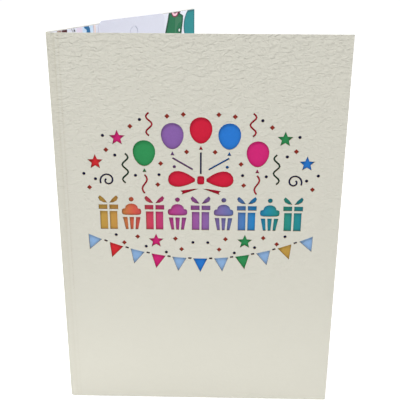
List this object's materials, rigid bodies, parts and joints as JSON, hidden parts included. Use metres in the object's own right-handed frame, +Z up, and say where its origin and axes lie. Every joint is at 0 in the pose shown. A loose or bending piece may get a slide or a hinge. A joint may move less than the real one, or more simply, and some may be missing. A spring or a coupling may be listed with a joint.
{
  "type": "pop up card",
  "caption": "Folded pop up greeting card that stands open, with a stencil-cut front leaf over a printed liner, a loose note card and a tiered paper cake inside.",
  "frame": {"origin": "bottom centre of the open card's bounding box, on the surface it stands on", "axes": "+Z up along the spine, -Y out of the front leaf's outer face, +X from the spine to the front leaf's free edge"},
  "size_m": [0.127, 0.114, 0.1792],
  "materials": {
    "ivory_card": "matt felt-marked card",
    "printed_paper": "matt paper printed with fields of colour",
    "note_paper": "matt uncoated paper",
    "band_paper": "matt uncoated paper",
    "rose_card": "matt dyed card",
    "blue_card": "matt dyed card",
    "gold_card": "matt dyed card",
    "icing_card": "matt white card",
    "candle_card": "matt printed card",
    "star_card": "matt dyed card",
    "red_card": "matt dyed card",
    "violet_card": "matt dyed card",
    "green_card": "matt dyed card",
    "teal_card": "matt dyed card",
    "magenta_card": "matt dyed card",
    "bunting_card": "matt printed card"
  },
  "bodies": {
    "root": {"cover": "ivory_card", "liner": "printed_paper", "note_card": "note_paper", "note_band": "band_paper", "bottom_tier": "rose_card", "middle_tier": "blue_card", "top_tier": "gold_card", "bottom_icing": "icing_card", "middle_icing": "icing_card", "top_icing": "icing_card", "candle_1": "candle_card", "candle_2": "candle_card", "candle_3": "candle_card", "candle_4": "candle_card", "star_topper": "star_card", "balloon_1": "red_card", "balloon_2": "teal_card", "balloon_3": "green_card", "balloon_4": "magenta_card", "wide_gift": "violet_card", "wide_gift_ribbon": "gold_card", "tall_gift": "green_card", "tall_gift_ribbon": "red_card", "small_gift": "teal_card", "small_gift_ribbon": "magenta_card", "bunting": "bunting_card"}
  },
  "joints": []
}
